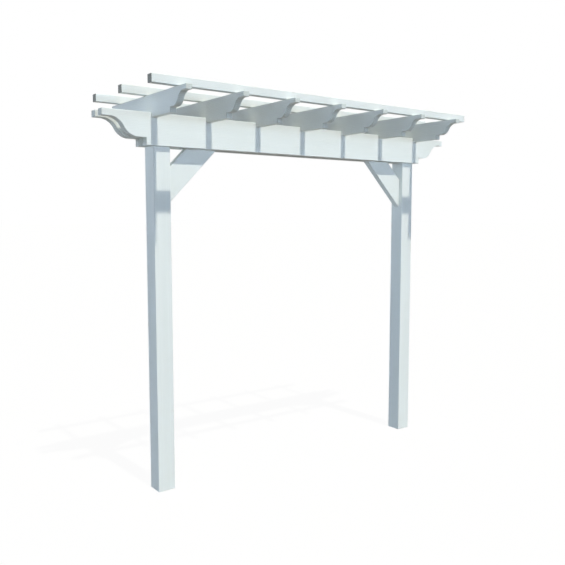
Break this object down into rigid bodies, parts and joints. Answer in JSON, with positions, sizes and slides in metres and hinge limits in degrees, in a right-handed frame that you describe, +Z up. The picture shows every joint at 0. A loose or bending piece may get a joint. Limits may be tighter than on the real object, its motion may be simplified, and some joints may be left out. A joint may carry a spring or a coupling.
{
  "type": "pergola",
  "caption": "White painted timber pergola on two posts: twin beams with scrolled ends, knee braces, scrolled rafters notched over the beams and slats along the top.",
  "frame": {"origin": "centre of the left post's foot, on the ground", "axes": "+X along the beams from the left post to the right post, +Y through the walkway from front to back, +Z up"},
  "size_m": [3.099, 1.06, 2.654],
  "materials": {
    "painted_timber": "smooth white paint, satin"
  },
  "bodies": {
    "root": {"left_post": "painted_timber", "right_post": "painted_timber", "front_beam": "painted_timber", "rear_beam": "painted_timber", "left_brace": "painted_timber", "right_brace": "painted_timber", "rafter_1": "painted_timber", "rafter_2": "painted_timber", "rafter_3": "painted_timber", "rafter_4": "painted_timber", "rafter_5": "painted_timber", "rafter_6": "painted_timber", "rafter_7": "painted_timber", "front_slat": "painted_timber", "middle_slat": "painted_timber", "rear_slat": "painted_timber"}
  },
  "joints": []
}
